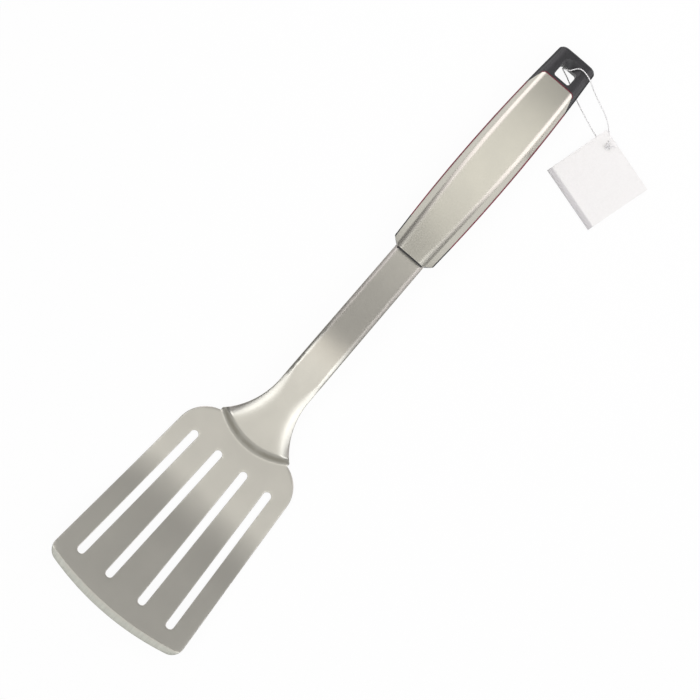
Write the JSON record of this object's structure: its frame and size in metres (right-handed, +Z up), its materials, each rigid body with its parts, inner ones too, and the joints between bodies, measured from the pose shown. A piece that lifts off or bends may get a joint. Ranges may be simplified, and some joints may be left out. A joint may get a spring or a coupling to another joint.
{
  "type": "slotted turner",
  "caption": "Long-handled slotted kitchen turner: one stamped steel head with a stepped, flaring neck, a steel-covered moulded handle with a hanging hole, and a blank paper tag on a string.",
  "frame": {"origin": "on the surface that the turner lies on, below the middle of the turner's own length and width, measured without the tag and its string", "axes": "+X from the blade's front edge towards the hanging loop, +Z up, +Y to the left when looking along +X"},
  "size_m": [0.3559, 0.108, 0.0175],
  "materials": {
    "head_steel": "satin, fine lines along the tool, bevel ground across its edge",
    "body_plastic": "fine-grained moulded black",
    "liner_plastic": "smooth burgundy",
    "cover_steel": "satin, fine lines along the handle",
    "screw_steel": "plain, zinc plated",
    "string": "twisted cotton",
    "tag_card": "blank card, folded",
    "tag_paper": "blank leaves"
  },
  "bodies": {
    "root": {"turner_head": "head_steel", "handle_body": "body_plastic", "trim_liner": "liner_plastic", "handle_cover": "cover_steel", "tang_screws": "screw_steel", "tag_string": "string", "string_knot": "string", "tag_cover": "tag_card", "tag_leaves": "tag_paper"}
  },
  "joints": []
}
